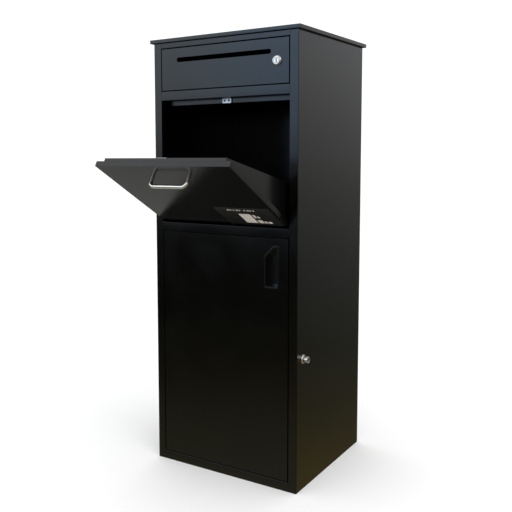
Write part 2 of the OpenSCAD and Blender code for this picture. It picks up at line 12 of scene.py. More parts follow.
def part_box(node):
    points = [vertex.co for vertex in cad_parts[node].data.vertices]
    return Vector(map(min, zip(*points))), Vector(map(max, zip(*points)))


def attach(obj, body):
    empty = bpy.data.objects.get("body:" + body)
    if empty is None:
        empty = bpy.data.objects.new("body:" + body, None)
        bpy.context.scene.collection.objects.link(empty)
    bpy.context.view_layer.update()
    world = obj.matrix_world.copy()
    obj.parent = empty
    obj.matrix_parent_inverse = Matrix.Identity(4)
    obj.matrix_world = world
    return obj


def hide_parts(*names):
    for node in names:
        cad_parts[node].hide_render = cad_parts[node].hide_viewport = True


bl_info = {
    "name": "Parcel Drop Box",
    "version": (1, 0, 0),
    "blender": (4, 5, 0),
    "location": "View3D > Sidebar > Drop Box",
    "description": "Powder-coated finishes, chrome fittings and a studio stage for a parcel drop box",
    "category": "Object",
}

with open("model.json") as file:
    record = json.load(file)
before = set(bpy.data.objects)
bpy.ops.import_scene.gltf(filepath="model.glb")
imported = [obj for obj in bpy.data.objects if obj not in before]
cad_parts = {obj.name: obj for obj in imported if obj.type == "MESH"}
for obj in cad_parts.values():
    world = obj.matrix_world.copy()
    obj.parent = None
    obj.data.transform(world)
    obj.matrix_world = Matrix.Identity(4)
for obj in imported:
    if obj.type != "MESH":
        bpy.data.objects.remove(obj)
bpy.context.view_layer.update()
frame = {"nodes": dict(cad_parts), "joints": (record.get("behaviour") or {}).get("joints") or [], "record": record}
JOINTS = {joint["name"]: joint for joint in frame["joints"]}

# Sizes in metres that the visual pieces share with the CAD model's hardware
PLUG_BORE = 0.00606
BARREL_RADIUS = 0.0095
COLLAR_THICKNESS = 0.0025
BRACKET_THICKNESS = 0.002
KEEPER_THICKNESS = 0.0015

# The part of a noise's 0 to 1 range that its values mostly fill
NOISE_LOW, NOISE_HIGH = 0.3, 0.7


# ---------------------------------------------------------------- settings


class FinishSettings(bpy.types.PropertyGroup):
    """Colours and surface qualities of the drop box"""

    coat_color: FloatVectorProperty(
        name="Coat Colour", description="Powder coat on the outside of the box",
        subtype="COLOR", size=3, min=0, max=1, default=(0.0008, 0.0008, 0.0007),
    )
    inner_color: FloatVectorProperty(
        name="Inner Colour", description="Powder coat on the parts inside the box and on the hopper",
        subtype="COLOR", size=3, min=0, max=1, default=(0.0030, 0.0030, 0.0029),
    )
    coat_roughness: FloatProperty(
        name="Coat Roughness", description="Roughness of the satin powder coat",
        subtype="FACTOR", min=0.1, max=0.9, default=0.15,
    )
    coat_texture: FloatProperty(
        name="Coat Texture", description="Height of the powder coat's fine grain",
        subtype="FACTOR", min=0, max=1, default=0.34,
    )
    grain_size: FloatProperty(
        name="Grain Size", description="Size of the powder coat's fine grain",
        unit="LENGTH", min=0.0003, max=0.01, default=0.0014,
    )
    chrome_color: FloatVectorProperty(
        name="Chrome Colour", description="Polished chrome on the pull handle and the locks",
        subtype="COLOR", size=3, min=0, max=1, default=(0.72, 0.69, 0.64),
    )
    zinc_color: FloatVectorProperty(
        name="Zinc Colour", description="Zinc-plated steel of pins, nuts, cams and brackets",
        subtype="COLOR", size=3, min=0, max=1, default=(0.56, 0.57, 0.58),
    )
    oxide_color: FloatVectorProperty(
        name="Black Oxide Colour", description="Blackened steel of the hinge pins",
        subtype="COLOR", size=3, min=0, max=1, default=(0.035, 0.035, 0.037),
    )
    rubber_color: FloatVectorProperty(
        name="Rubber Colour", description="Rubber of the stop pads",
        subtype="COLOR", size=3, min=0, max=1, default=(0.012, 0.012, 0.013),
    )
    label_color: FloatVectorProperty(
        name="Label Colour", description="Film of the label on the flap",
        subtype="COLOR", size=3, min=0, max=1, default=(0.009, 0.009, 0.009),
    )
    label_ink_color: FloatVectorProperty(
        name="Label Panel Colour", description="Pale panels and marks on the label",
        subtype="COLOR", size=3, min=0, max=1, default=(0.50, 0.45, 0.39),
    )
    edge_radius: FloatProperty(
        name="Edge Radius", description="Rounding of the folded sheet edges",
        unit="LENGTH", min=0.0001, max=0.002, default=0.0007,
    )


class DetailSettings(bpy.types.PropertyGroup):
    """Sizes of the small fittings"""

    handle_rod: FloatProperty(
        name="Handle Rod", description="Diameter of the pull handle's rod",
        unit="LENGTH", min=0.004, max=0.014, default=0.009,
    )
    handle_bend: FloatProperty(
        name="Handle Bend", description="Radius of the pull handle's bends",
        unit="LENGTH", min=0.006, max=0.02, default=0.011,
    )
    mail_nose: FloatProperty(
        name="Letter Lock Nose", description="Diameter of the letter door lock's nose",
        unit="LENGTH", min=0.015, max=0.021, default=0.019,
    )
    side_nose: FloatProperty(
        name="Collection Lock Nose", description="Diameter of the collection lock's nose",
        unit="LENGTH", min=0.014, max=0.021, default=0.016,
    )
    thread_pitch: FloatProperty(
        name="Thread Pitch", description="Spacing of the threads on the lock barrels",
        unit="LENGTH", min=0.0005, max=0.003, default=0.0011,
    )
    rivet_diameter: FloatProperty(
        name="Rivet Diameter", description="Head diameter of the rivets inside the box",
        unit="LENGTH", min=0.003, max=0.01, default=0.0062,
    )
    mark_count: IntProperty(
        name="Label Marks", description="Number of plain marks along the top of the label",
        min=2, max=24, default=9,
    )


class StageSettings(bpy.types.PropertyGroup):
    """Floor, lights and camera"""

    floor_size: FloatProperty(
        name="Floor Size", description="Width of the studio floor",
        unit="LENGTH", min=2, max=60, default=24,
    )
    key_power: FloatProperty(
        name="Key Light", description="Strength of the large light on the right",
        subtype="POWER", min=0, max=2000, default=26,
    )
    fill_power: FloatProperty(
        name="Fill Light", description="Strength of the soft light from the front left",
        subtype="POWER", min=0, max=2000, default=10,
    )
    camera_lens: FloatProperty(
        name="Lens", description="Focal length of the camera in millimetres",
        min=10, max=200, default=51.2,
    )
    show_floor: BoolProperty(
        name="Floor", description="Lay the studio floor under the box", default=True,
    )


# ---------------------------------------------------------------- materials


def new_material(name):
    """A node material with an empty Principled shader, and its node tree"""
    material = bpy.data.materials.new(name)
    material.use_nodes = True
    tree = material.node_tree
    tree.nodes.clear()
    output = tree.nodes.new("ShaderNodeOutputMaterial")
    shader = tree.nodes.new("ShaderNodeBsdfPrincipled")
    tree.links.new(shader.outputs["BSDF"], output.inputs["Surface"])
    return material, tree, shader


def object_noise(tree, scale, detail=2.0, stretch=(1, 1, 1)):
    """Noise on Object coordinates, with the given features per metre"""
    coordinates = tree.nodes.new("ShaderNodeTexCoord")
    mapping = tree.nodes.new("ShaderNodeMapping")
    mapping.inputs["Scale"].default_value = stretch
    noise = tree.nodes.new("ShaderNodeTexNoise")
    noise.inputs["Scale"].default_value = scale
    noise.inputs["Detail"].default_value = detail
    tree.links.new(coordinates.outputs["Object"], mapping.inputs["Vector"])
    tree.links.new(mapping.outputs["Vector"], noise.inputs["Vector"])
    return noise.outputs["Fac"]


def spread(tree, value, low, high):
    """Spreads a noise over a range"""
    node = tree.nodes.new("ShaderNodeMapRange")
    node.inputs["From Min"].default_value = NOISE_LOW
    node.inputs["From Max"].default_value = NOISE_HIGH
    node.inputs["To Min"].default_value = low
    node.inputs["To Max"].default_value = high
    tree.links.new(value, node.inputs["Value"])
    return node.outputs["Result"]


def mottled(tree, value, color, darker, lighter):
    """A colour that drifts between a darker and a lighter tone of itself"""
    ramp = tree.nodes.new("ShaderNodeValToRGB")
    dark, light = ramp.color_ramp.elements
    dark.position, light.position = NOISE_LOW, NOISE_HIGH
    dark.color = (*[c * darker for c in color], 1)
    light.color = (*[min(1.0, c * lighter) for c in color], 1)
    tree.links.new(value, ramp.inputs["Fac"])
    return ramp.outputs["Color"]


def bumped(tree, shader, value, strength, distance):
    """Puts a fine relief on the shader"""
    bump = tree.nodes.new("ShaderNodeBump")
    bump.inputs["Strength"].default_value = strength
    bump.inputs["Distance"].default_value = distance
    tree.links.new(value, bump.inputs["Height"])
    tree.links.new(bump.outputs["Normal"], shader.inputs["Normal"])


def powder_coat(name, color, settings, roughness_shift=0.0):
    """Satin powder coat: a fine orange-peel grain, with gloss and tone that drift slowly"""
    material, tree, shader = new_material(name)
    rough = settings.coat_roughness + roughness_shift
    tone, gloss = object_noise(tree, 5.0), object_noise(tree, 11.0, 3.0)
    tree.links.new(mottled(tree, tone, color, 0.86, 1.16), shader.inputs["Base Color"])
    tree.links.new(spread(tree, gloss, rough - 0.03, rough + 0.04), shader.inputs["Roughness"])
    shader.inputs["Specular IOR Level"].default_value = 0.5
    grain = object_noise(tree, 1 / settings.grain_size, 1.5)
    bumped(tree, shader, grain, settings.coat_texture, 0.0003)
    return material


def polished_chrome(settings):
    """Bright chrome with faint polishing lines and soft smudges"""
    material, tree, shader = new_material("polished_chrome")
    shader.inputs["Metallic"].default_value = 1.0
    smudges = object_noise(tree, 60.0)
    tree.links.new(mottled(tree, smudges, settings.chrome_color, 0.93, 1.05), shader.inputs["Base Color"])
    tree.links.new(spread(tree, object_noise(tree, 220.0, 3.0), 0.16, 0.27), shader.inputs["Roughness"])
    bumped(tree, shader, object_noise(tree, 900.0, 2.0, (1, 1, 3)), 0.04, 0.0001)
    return material


def plated_steel(name, color):
    """Plated steel: slightly cloudy, with fine drawn lines"""
    material, tree, shader = new_material(name)
    shader.inputs["Metallic"].default_value = 1.0
    clouds = object_noise(tree, 130.0, 4.0)
    tree.links.new(mottled(tree, clouds, color, 0.8, 1.12), shader.inputs["Base Color"])
    tree.links.new(spread(tree, object_noise(tree, 300.0, 2.0), 0.26, 0.44), shader.inputs["Roughness"])
    bumped(tree, shader, object_noise(tree, 1600.0, 2.0, (1, 0.15, 1)), 0.1, 0.0001)
    return material


def moulded_rubber(settings):
    """Black rubber with a dusty, pebbled skin"""
    material, tree, shader = new_material("moulded_rubber")
    dust = object_noise(tree, 420.0, 4.0)
    tree.links.new(mottled(tree, dust, settings.rubber_color, 0.7, 1.9), shader.inputs["Base Color"])
    tree.links.new(spread(tree, object_noise(tree, 260.0), 0.66, 0.84), shader.inputs["Roughness"])
    bumped(tree, shader, object_noise(tree, 1500.0), 0.35, 0.0002)
    return material


def printed_film(name, color, gloss):
    """Printed plastic film with a faint surface texture"""
    material, tree, shader = new_material(name)
    mottle = object_noise(tree, 300.0, 3.0)
    tree.links.new(mottled(tree, mottle, color, 0.88, 1.1), shader.inputs["Base Color"])
    tree.links.new(spread(tree, object_noise(tree, 90.0), gloss, gloss + 0.08), shader.inputs["Roughness"])
    bumped(tree, shader, object_noise(tree, 2200.0), 0.08, 0.0001)
    return material


def studio_floor():
    """Pale matt floor with a faint mottle"""
    material, tree, shader = new_material("studio_floor")
    white = (0.97, 0.97, 0.97)
    tree.links.new(mottled(tree, object_noise(tree, 3.0), white, 0.985, 1.0), shader.inputs["Base Color"])
    tree.links.new(spread(tree, object_noise(tree, 40.0), 0.85, 0.95), shader.inputs["Roughness"])
    return material


def make_materials(settings):
    """Every finish of the box, by the record's slot names"""
    magnet_color = [0.12 * tone for tone in settings.zinc_color]
    return {
        "black_powder": powder_coat("black_powder_coat", settings.coat_color, settings),
        "dark_powder": powder_coat("inner_powder_coat", settings.inner_color, settings, 0.03),
        "zinc_steel": plated_steel("zinc_plate", settings.zinc_color),
        "black_oxide": plated_steel("black_oxide", settings.oxide_color),
        "chrome": polished_chrome(settings),
        "rubber": moulded_rubber(settings),
        "magnet": plated_steel("magnet_plate", magnet_color),
        "label": printed_film("label_film", settings.label_color, 0.42),
    }


def finish_named(name):
    """A finish made earlier by the finishes operator"""
    if name not in bpy.data.materials:
        raise RuntimeError(f"finish {name} isn't made yet: run Finishes first")
    return bpy.data.materials[name]


# ---------------------------------------------------------------- pieces


def put_piece(name, mesh_edit, material, body, replaced=()):
    """Turns a bmesh into a smooth piece that rides on a body"""
    weld_distance, smooth_angle = 1e-6, math.radians(35)
    bmesh.ops.remove_doubles(mesh_edit, verts=mesh_edit.verts, dist=weld_distance)
    bmesh.ops.recalc_face_normals(mesh_edit, faces=mesh_edit.faces)
    mesh = bpy.data.meshes.new(name)
    mesh_edit.to_mesh(mesh)
    mesh_edit.free()
    mesh.materials.append(material)
    piece = bpy.data.objects.new(name, mesh)
    bpy.context.scene.collection.objects.link(piece)
    mesh.shade_smooth()
    mesh.set_sharp_from_angle(angle=smooth_angle)
    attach(piece, body)
    if replaced:
        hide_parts(*replaced)
    return piece


def round_edges(node, radius):
    """Welds a CAD node's faces and rounds its sharp edges"""
    weld_distance, sharp_angle = 0.00002, math.radians(40)
    obj = frame["nodes"][node]
    weld = obj.modifiers.new("Weld", "WELD")
    weld.merge_threshold = weld_distance
    bevel = obj.modifiers.new("Edge", "BEVEL")
    bevel.width = radius
    bevel.segments = 2
    bevel.limit_method = "ANGLE"
    bevel.angle_limit = sharp_angle
    bevel.use_clamp_overlap = True
    bevel.harden_normals = False
    obj.data.shade_smooth()
    normals = obj.modifiers.new("Normals", "WEIGHTED_NORMAL")
    normals.keep_sharp = True


def paint_node(node, material):
    """Gives a CAD node its finish"""
    data = frame["nodes"][node].data
    data.materials.clear()
    data.materials.append(material)


def lathe(mesh_edit, profile, place, segments):
    """Spins a closed outline of (radius, height) points into a solid and puts it in place"""
    verts = [mesh_edit.verts.new((radius, 0, height)) for radius, height in profile]
    edges = [mesh_edit.edges.new((a, b)) for a, b in zip(verts, verts[1:] + verts[:1])]
    bmesh.ops.spin(
        mesh_edit, geom=verts + edges, cent=(0, 0, 0), axis=(0, 0, 1), angle=math.tau,
        steps=segments, use_merge=True, use_duplicate=False,
    )
    bmesh.ops.transform(mesh_edit, matrix=place, verts=mesh_edit.verts)


def hopper_place():
    """Turns the hopper's upright frame, with its hinge line at the origin, to the open position"""
    joint = JOINTS["hopper_tilt"]
    tilt = math.radians(joint["range_deg"][1])
    return Matrix.Translation(joint["pos_m"]) @ Matrix.Rotation(tilt, 4, "X")


def upright_box(node):
    """Lowest and highest corner of a hopper node in the hopper's upright frame"""
    back = hopper_place().inverted()
    points = [back @ v.co for v in frame["nodes"][node].data.vertices]
    low = Vector([min(p[i] for p in points) for i in range(3)])
    high = Vector([max(p[i] for p in points) for i in range(3)])
    return low, high


def rounded_plate(mesh_edit, low, high, corner, edge, place):
    """A thin plate in the XZ plane with round corners and softened front edges"""
    made = bmesh.ops.create_cube(mesh_edit, size=1.0)["verts"]
    size = high - low
    centre = (low + high) / 2
    bmesh.ops.scale(mesh_edit, vec=size, verts=made)
    bmesh.ops.translate(mesh_edit, vec=centre, verts=made)
    across = [e for e in mesh_edit.edges if set(e.verts) <= set(made) and is_along_y(e)]
    if corner > 0:
        bmesh.ops.bevel(
            mesh_edit, geom=across, offset=corner, segments=5, profile=0.5, affect="EDGES", material=-1
        )
    if edge > 0:
        on_front = 1e-7
        rim = [
            e for e in mesh_edit.edges
            if all(abs(v.co.y - low.y) < on_front for v in e.verts) and len(e.link_faces) == 2
        ]
        bmesh.ops.bevel(
            mesh_edit, geom=rim, offset=edge, segments=2, profile=0.5, affect="EDGES", material=-1
        )
    bmesh.ops.transform(mesh_edit, matrix=place, verts=mesh_edit.verts)


def is_along_y(edge):
    """True for an edge that runs along Y"""
    run = edge.verts[1].co - edge.verts[0].co
    return abs(run.y) > 0.9 * run.length


# ---------------------------------------------------------------- operators


class DROPBOX_OT_finishes(bpy.types.Operator):
    """Make the finishes and give every CAD part its own"""

    bl_idname = "dropbox.finishes"
    bl_label = "Finishes"

    def execute(self, context):
        settings = context.scene.dropbox_finish
        materials = make_materials(settings)
        printed_film("label_panel", settings.label_ink_color, 0.5)
        for part in frame["record"]["subparts"]:
            paint_node(part["node"], materials[part["material_slot"]])
        return {"FINISHED"}


class DROPBOX_OT_folded_edges(bpy.types.Operator):
    """Round the folded edges of the sheet metal and the small hardware"""

    bl_idname = "dropbox.folded_edges"
    bl_label = "Folded Edges"

    # Shares of the edge radius on thin parts and on hardware
    thin_share = 0.6
    hardware_share = 0.4
    sheet_parts = (
        "left_side_panel", "right_side_panel", "left_stile", "right_stile", "top_rail", "header_rail",
        "mid_rail", "bottom_rail", "back_panel", "roof_panel", "mail_door_panel", "lower_door_panel",
        "flap_skin", "grip_cup", "lower_door_stiffener",
    )
    thin_parts = (
        "base_pan", "mail_shelf", "catch_plate", "hopper_liner", "hopper_shelf", "left_cheek",
        "right_cheek", "left_stop_bracket", "right_stop_bracket", "lock_keeper", "mail_door_stop",
        "upper_door_stop", "lower_door_stop",
    )
    hardware = (
        "catch_body", "catch_magnets", "catch_strike", "side_lock_nut", "mail_lock_nut", "side_lock_cam",
        "mail_lock_cam", "side_lock_screw", "mail_lock_screw", "side_lock_plug", "mail_lock_plug",
        "left_hinge_pin", "right_hinge_pin", "mail_door_top_pin", "mail_door_bottom_pin",
        "lower_door_top_pin", "lower_door_bottom_pin", "left_stop_stud", "right_stop_stud",
        "handle_screws", "left_stop_pad", "right_stop_pad", "upper_door_pad", "lower_door_pad",
        "mail_door_pad",
    )

    def execute(self, context):
        radius = context.scene.dropbox_finish.edge_radius
        for node in self.sheet_parts:
            round_edges(node, radius)
        for node in self.thin_parts:
            round_edges(node, radius * self.thin_share)
        for node in self.hardware:
            round_edges(node, radius * self.hardware_share)
        return {"FINISHED"}


class DROPBOX_OT_pull_handle(bpy.types.Operator):
    """Bend the chrome pull handle from one rod"""

    bl_idname = "dropbox.pull_handle"
    bl_label = "Pull Handle"

    def execute(self, context):
        sizes = context.scene.dropbox_detail
        low, high = upright_box("pull_handle")
        rod = sizes.handle_rod / 2
        bend = sizes.handle_bend
        reach = high.y - low.y - rod
        half = (high.x - low.x) / 2 - rod
        middle = Vector(((low.x + high.x) / 2, high.y, (low.z + high.z) / 2))

        edit = bmesh.new()
        ring = bmesh.ops.create_circle(edit, cap_ends=False, radius=rod, segments=28)["verts"]
        bmesh.ops.rotate(edit, verts=ring, cent=(0, 0, 0), matrix=Matrix.Rotation(math.pi / 2, 3, "X"))
        bmesh.ops.translate(edit, verts=ring, vec=(-half, 0, 0))
        edges = list({e for v in ring for e in v.link_edges})
        edges = self.push(edit, edges, (0, bend - reach, 0))
        edges = self.turn(edit, edges, (-half + bend, bend - reach, 0))
        edges = self.push(edit, edges, (2 * (half - bend), 0, 0))
        edges = self.turn(edit, edges, (half - bend, bend - reach, 0))
        self.push(edit, edges, (0, reach - bend, 0))
        bmesh.ops.holes_fill(edit, edges=[e for e in edit.edges if e.is_boundary], sides=0)
        bmesh.ops.transform(edit, matrix=hopper_place() @ Matrix.Translation(middle), verts=edit.verts)
        put_piece(
            "Pull_Handle", edit, finish_named("polished_chrome"), "hopper", ["pull_handle"]
        )
        return {"FINISHED"}

    @staticmethod
    def push(edit, edges, step):
        """Draws the open end out in a straight line and gives the new end's edges"""
        made = bmesh.ops.extrude_edge_only(edit, edges=edges)["geom"]
        verts = [g for g in made if isinstance(g, bmesh.types.BMVert)]
        bmesh.ops.translate(edit, verts=verts, vec=step)
        return [e for e in made if isinstance(e, bmesh.types.BMEdge) and e.is_boundary]

    @staticmethod
    def turn(edit, edges, centre):
        """Bends the open end through a quarter turn and gives the new end's edges"""
        made = bmesh.ops.spin(
            edit, geom=edges, cent=centre, axis=(0, 0, 1), angle=math.pi / 2, steps=12,
            use_merge=False, use_duplicate=False,
        )["geom_last"]
        return [e for e in made if isinstance(e, bmesh.types.BMEdge)]


class DROPBOX_OT_locks(bpy.types.Operator):
    """Turn the chrome lock bodies, with nose, collar and threaded barrel, and line their keyways with dark blocks:
    partly the plugs' wards, partly painted shade for the dark inside of the slots
    """

    bl_idname = "dropbox.locks"
    bl_label = "Locks"

    def execute(self, context):
        sizes = context.scene.dropbox_detail
        low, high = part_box("mail_lock_body")
        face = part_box("mail_door_panel")[0].y
        place = Matrix.Translation(((low.x + high.x) / 2, face, (low.z + high.z) / 2))
        place = place @ Matrix.Rotation(math.pi / 2, 4, "X")
        collar = (high.x - low.x) / 2
        self.body("Mail_Lock_Body", collar, sizes.mail_nose / 2, face - low.y, face - high.y, place,
                  sizes.thread_pitch, "mail_door")
        # Painted shade: a dark block that darkens the inside of the letter lock's key slot
        self.shaded_keyway("Mail_Lock_Keyway_Shade", face - low.y, place, "mail_lock")

        low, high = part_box("side_lock_body")
        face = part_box("right_side_panel")[1].x
        place = Matrix.Translation((face, (low.y + high.y) / 2, (low.z + high.z) / 2))
        place = place @ Matrix.Rotation(math.pi / 2, 4, "Y") @ Matrix.Rotation(math.pi / 2, 4, "Z")
        collar = (high.z - low.z) / 2
        self.body("Side_Lock_Body", collar, sizes.side_nose / 2, high.x - face, low.x - face, place,
                  sizes.thread_pitch, "cabinet")
        # Painted shade: a dark block that darkens the inside of the collection lock's key slot
        self.shaded_keyway("Side_Lock_Keyway_Shade", high.x - face, place, "side_lock")
        return {"FINISHED"}

    @staticmethod
    def body(name, collar, nose, nose_end, barrel_end, place, pitch, body):
        """One lock body, drawn along +Z with the panel's outer face at Z = 0"""
        thread_depth, thread_start, lead_in = 0.0005, 0.002, 0.0006
        fillet, collar_edge, crown, mouth = 0.0003, 0.0005, 0.0011, 0.0012
        root = BARREL_RADIUS - thread_depth
        profile = [(PLUG_BORE, barrel_end), (BARREL_RADIUS - lead_in, barrel_end)]
        for index in range(int((-barrel_end - thread_start) / pitch)):
            height = barrel_end + (index + 0.5) * pitch
            profile += [(BARREL_RADIUS, height), (root, height + pitch / 2)]
        profile += [
            (root, 0.0),
            (collar - collar_edge, 0.0),
            (collar, collar_edge),
            (collar, COLLAR_THICKNESS - 0.0010),
            (collar - 0.0004, COLLAR_THICKNESS - fillet),
            (collar - crown, COLLAR_THICKNESS),
            (nose + fillet, COLLAR_THICKNESS),
            (nose, COLLAR_THICKNESS + fillet),
            (nose, nose_end - 0.0012),
            (nose - fillet, nose_end - 0.0004),
            (nose - crown, nose_end),
            (PLUG_BORE + mouth, nose_end),
            (PLUG_BORE + 0.0004, nose_end - fillet),
            (PLUG_BORE, nose_end - 0.0009),
        ]
        edit = bmesh.new()
        lathe(edit, profile, place, 56)
        put_piece(name, edit, finish_named("polished_chrome"), body, [name.lower()])

    @staticmethod
    def shaded_keyway(name, nose_end, place, body):
        """Dark lining in a plug's key slot, with a stepped ward down one side: partly the plug's ward, partly
        painted shade that darkens the inside of the slot
        """
        half_wide, half_tall, ward_inner = 0.0012, 0.0039, -0.0003
        bottom, top, ward_top = nose_end - 0.0052, nose_end - 0.0014, nose_end - 0.0009
        edge = 0.0002
        edit = bmesh.new()
        for low, high in (
            ((-half_wide, -half_tall, bottom), (half_wide, half_tall, top)),
            ((-half_wide, -half_wide, top), (ward_inner, half_wide, ward_top)),
        ):
            made = bmesh.ops.create_cube(edit, size=1.0)["verts"]
            low, high = Vector(low), Vector(high)
            bmesh.ops.scale(edit, vec=high - low, verts=made)
            bmesh.ops.translate(edit, vec=(low + high) / 2, verts=made)
        bmesh.ops.bevel(
            edit, geom=edit.edges[:], offset=edge, segments=1, profile=0.5, affect="EDGES", material=-1
        )
        bmesh.ops.transform(edit, matrix=place, verts=edit.verts)
        put_piece(name, edit, finish_named("black_oxide"), body)


class DROPBOX_OT_label(bpy.types.Operator):
    """Lay the plain label on the flap, with pale panels and marks and no words"""

    bl_idname = "dropbox.label"
    bl_label = "Label"

    def execute(self, context):
        low, high = upright_box("info_label")
        place = hopper_place()
        edit = bmesh.new()
        rounded_plate(edit, low, high, corner=0.003, edge=0.0001, place=place)
        put_piece("Info_Label", edit, finish_named("label_film"), "hopper", ["info_label"])

        size = high - low
        ink = 0.0001
        edit = bmesh.new()
        for left, right, bottom, top in self.panels() + self.marks(context.scene.dropbox_detail.mark_count):
            rounded_plate(
                edit,
                Vector((low.x + left * size.x, low.y - ink, low.z + bottom * size.z)),
                Vector((low.x + right * size.x, low.y, low.z + top * size.z)),
                corner=0, edge=0, place=Matrix.Identity(4),
            )
        bmesh.ops.transform(edit, matrix=place, verts=edit.verts)
        put_piece("Label_Panels", edit, finish_named("label_panel"), "hopper")
        return {"FINISHED"}

    @staticmethod
    def panels():
        """Left, right, bottom and top of each pale panel, as shares of the label"""
        return [
            (0.36, 0.57, 0.14, 0.66),
            (0.60, 0.64, 0.44, 0.62),
            (0.66, 0.70, 0.44, 0.54),
            (0.60, 0.69, 0.14, 0.32),
            (0.71, 0.75, 0.14, 0.26),
            (0.77, 0.84, 0.14, 0.24),
        ]

    @staticmethod
    def marks(count):
        """Left, right, bottom and top of each plain mark in the line along the top, in two groups"""
        start, run, gap, narrow, broad = 0.22, 0.5, 0.03, 0.022, 0.036
        made = []
        for index in range(count):
            left = start + run * index / count + (gap if index > count / 2 else 0)
            made.append((left, left + (narrow if index % 3 else broad), 0.84, 0.90))
        return made


class DROPBOX_OT_rivets(bpy.types.Operator):
    """Set the domed rivets that hold the brackets inside the box"""

    bl_idname = "dropbox.rivets"
    bl_label = "Rivets"

    def execute(self, context):
        radius = context.scene.dropbox_detail.rivet_diameter / 2
        from_top, from_door = 0.007, 0.006
        edit = bmesh.new()
        for node in ("left_stop_bracket", "right_stop_bracket"):
            low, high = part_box(node)
            inward = 1 if high.x < 0 else -1
            wall = low.x if inward > 0 else high.x
            face = wall + inward * BRACKET_THICKNESS
            for share in (0.25, 0.75):
                point = Vector((face, low.y + share * (high.y - low.y), high.z - from_top))
                self.dome(edit, radius, point, Matrix.Rotation(inward * math.pi / 2, 4, "Y"))
        put_piece("Bracket_Rivets", edit, finish_named("zinc_plate"), "cabinet")

        edit = bmesh.new()
        low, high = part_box("lock_keeper")
        door_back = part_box("lower_door_panel")[1].y
        for share in (0.25, 0.75):
            height = low.z + share * (high.z - low.z)
            point = Vector((high.x - KEEPER_THICKNESS, door_back - from_door, height))
            self.dome(edit, radius, point, Matrix.Rotation(-math.pi / 2, 4, "Y"))
        put_piece("Keeper_Rivets", edit, finish_named("zinc_plate"), "lower_door")
        return {"FINISHED"}

    @staticmethod
    def dome(edit, radius, point, turn):
        """One rivet head, a flattened dome that stands on its face along +Z"""
        flatness = 0.45
        made = bmesh.ops.create_uvsphere(edit, u_segments=20, v_segments=10, radius=radius)["verts"]
        bmesh.ops.scale(edit, vec=(1, 1, flatness), verts=made)
        bmesh.ops.transform(edit, matrix=Matrix.Translation(point) @ turn, verts=made)


# The room's tones run from this slope downwards to the same slope upwards
ROOM_SLOPE = 0.6
# Tones of the room to the left and to the right of the box, from below to above
LEFT_ROOM = (
    (0.00, (0.36, 0.36, 0.34)), (0.09, (0.38, 0.37, 0.33)), (0.15, (0.34, 0.31, 0.20)),
    (0.20, (0.24, 0.22, 0.12)), (0.28, (0.03, 0.03, 0.018)), (0.42, (0.012, 0.012, 0.012)),
    (0.48, (0.36, 0.36, 0.34)), (0.545, (1.10, 1.13, 1.15)), (0.67, (1.2, 1.22, 1.25)),
    (1.00, (1.25, 1.26, 1.3)),
)
RIGHT_ROOM = (
    (0.00, (0.32, 0.28, 0.16)), (0.14, (0.27, 0.20, 0.07)), (0.20, (0.14, 0.12, 0.06)),
    (0.29, (0.09, 0.09, 0.07)), (0.38, (0.15, 0.15, 0.14)), (0.46, (0.25, 0.26, 0.24)),
    (0.54, (0.42, 0.42, 0.42)), (0.63, (0.66, 0.67, 0.69)), (1.00, (0.74, 0.74, 0.76)),
)
# Tint of the windows on the left side of the room, from far left to straight ahead
WINDOW_TINT = (
    (0.00, (1.12, 1.16, 1.16)), (0.14, (1.14, 1.20, 1.20)), (0.36, (1.02, 1.46, 2.05)),
    (0.50, (0.92, 1.30, 1.90)), (1.00, (0.9, 1.0, 1.1)),
)
# How much of the tint shows, from below to above
TINT_SHARE = ((0.42, (0, 0, 0)), (0.55, (1, 1, 1)), (0.70, (1, 1, 1)), (0.90, (0.1, 0.1, 0.1)))
KEY_LIGHT = {"place": (2.4, -1.6, 3.2), "target": (0, 0, 0.6), "size": (1.6, 1.6), "color": (1, 0.98, 0.95)}
FILL_LIGHT = {"place": (-1.6, -3.2, 2.6), "target": (0, 0, 0.7), "size": (2.4, 1.6), "color": (0.9, 0.95, 1)}
CAMERA_PLACE = (0.931, -1.665, 0.796)
# Heading, pitch and roll in degrees
CAMERA_TURN = (33.98, -5.46, -0.40)
CAMERA_SHIFT = (0.109, -0.065)


def tone_by(tree, value, low, high, tones):
    """A colour looked up along a range, from a list of places and tones"""
    place = tree.nodes.new("ShaderNodeMapRange")
    place.inputs["From Min"].default_value = low
    place.inputs["From Max"].default_value = high
    ramp = tree.nodes.new("ShaderNodeValToRGB")
    stops = ramp.color_ramp.elements
    while len(stops) < len(tones):
        stops.new(1.0)
    for stop, (position, tone) in zip(stops, tones):
        stop.position = position
        stop.color = (*tone, 1)
    tree.links.new(value, place.inputs["Value"])
    tree.links.new(place.outputs["Result"], ramp.inputs["Fac"])
    return ramp.outputs["Color"]


